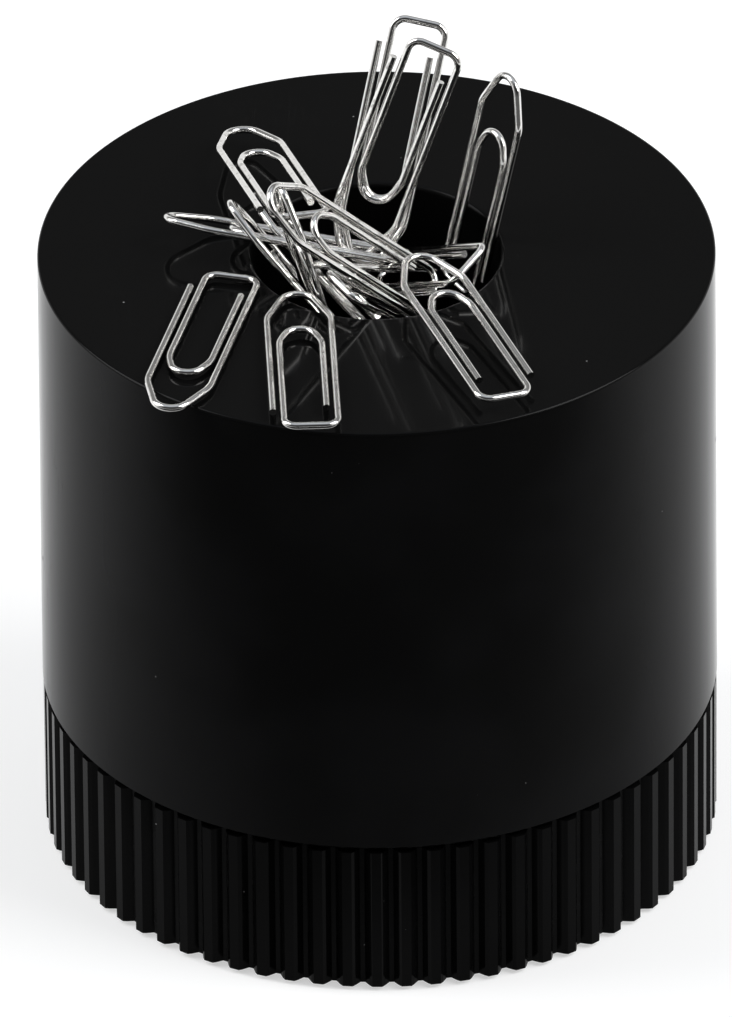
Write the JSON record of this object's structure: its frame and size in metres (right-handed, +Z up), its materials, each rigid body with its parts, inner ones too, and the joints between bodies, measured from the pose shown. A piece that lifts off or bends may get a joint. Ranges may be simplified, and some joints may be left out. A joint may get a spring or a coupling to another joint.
{
  "type": "magnetic paper clip holder",
  "caption": "Round glossy desk holder for paper clips with a ribbed base, a lift-off shell and a ring magnet round its mouth that holds bright wire clips on the flat top.",
  "frame": {"origin": "on the desk, under the middle of the holder", "axes": "+Z up along the holder's axis, -Y towards the viewer of the picture, +X to the viewer's right"},
  "size_m": [0.0704, 0.0707, 0.0927],
  "materials": {
    "shell_plastic": "moulded, mirror gloss",
    "base_plastic": "moulded, gloss, ribbed",
    "keeper_plastic": "moulded, matt",
    "ferrite": "pressed and sintered, ground faces",
    "pad_rubber": "matt, slightly soft",
    "steel_wire": "bright nickel-plated drawn wire"
  },
  "bodies": {
    "base": {"ribbed_base": "base_plastic", "foot_pad": "pad_rubber", "stored_clips": "steel_wire"},
    "shell": {"body_shell": "shell_plastic", "ring_magnet": "ferrite", "magnet_retainer": "keeper_plastic", "clip_back_left": "steel_wire", "clip_reach_left": "steel_wire", "clip_lean_left": "steel_wire", "clip_low_left": "steel_wire", "clip_mouth_right": "steel_wire", "clip_arch_left": "steel_wire", "clip_mouth_front": "steel_wire", "clip_deep_left": "steel_wire", "clip_deep_front": "steel_wire"},
    "clip_front_left_body": {"clip_front_left": "steel_wire"},
    "clip_front_centre_body": {"clip_front_centre": "steel_wire"},
    "clip_front_right_body": {"clip_front_right": "steel_wire"},
    "clip_tall_front_body": {"clip_tall_front": "steel_wire"},
    "clip_tall_back_body": {"clip_tall_back": "steel_wire"},
    "clip_tall_right_body": {"clip_tall_right": "steel_wire"}
  },
  "joints": [
    {"name": "shell_lift", "type": "slide", "parent": "base", "child": "shell", "axis": [0, 0, 1], "range_m": [0, 0.045]},
    {"name": "clip_front_left_pull", "type": "slide", "parent": "shell", "child": "clip_front_left_body", "axis": [0, 0, 1], "range_m": [0, 0.03]},
    {"name": "clip_front_centre_pull", "type": "slide", "parent": "shell", "child": "clip_front_centre_body", "axis": [0, -0.9397, 0.3419], "range_m": [0, 0.03]},
    {"name": "clip_front_right_pull", "type": "slide", "parent": "shell", "child": "clip_front_right_body", "axis": [0, 0, 1], "range_m": [0, 0.03]},
    {"name": "clip_tall_front_pull", "type": "slide", "parent": "shell", "child": "clip_tall_front_body", "axis": [0.3329, 0.077, 0.9398], "range_m": [0, 0.03]},
    {"name": "clip_tall_back_pull", "type": "slide", "parent": "shell", "child": "clip_tall_back_body", "axis": [0.2191, 0.4491, 0.8662], "range_m": [0, 0.03]},
    {"name": "clip_tall_right_pull", "type": "slide", "parent": "shell", "child": "clip_tall_right_body", "axis": [0.15, 0.087, 0.9849], "range_m": [0, 0.03]}
  ]
}
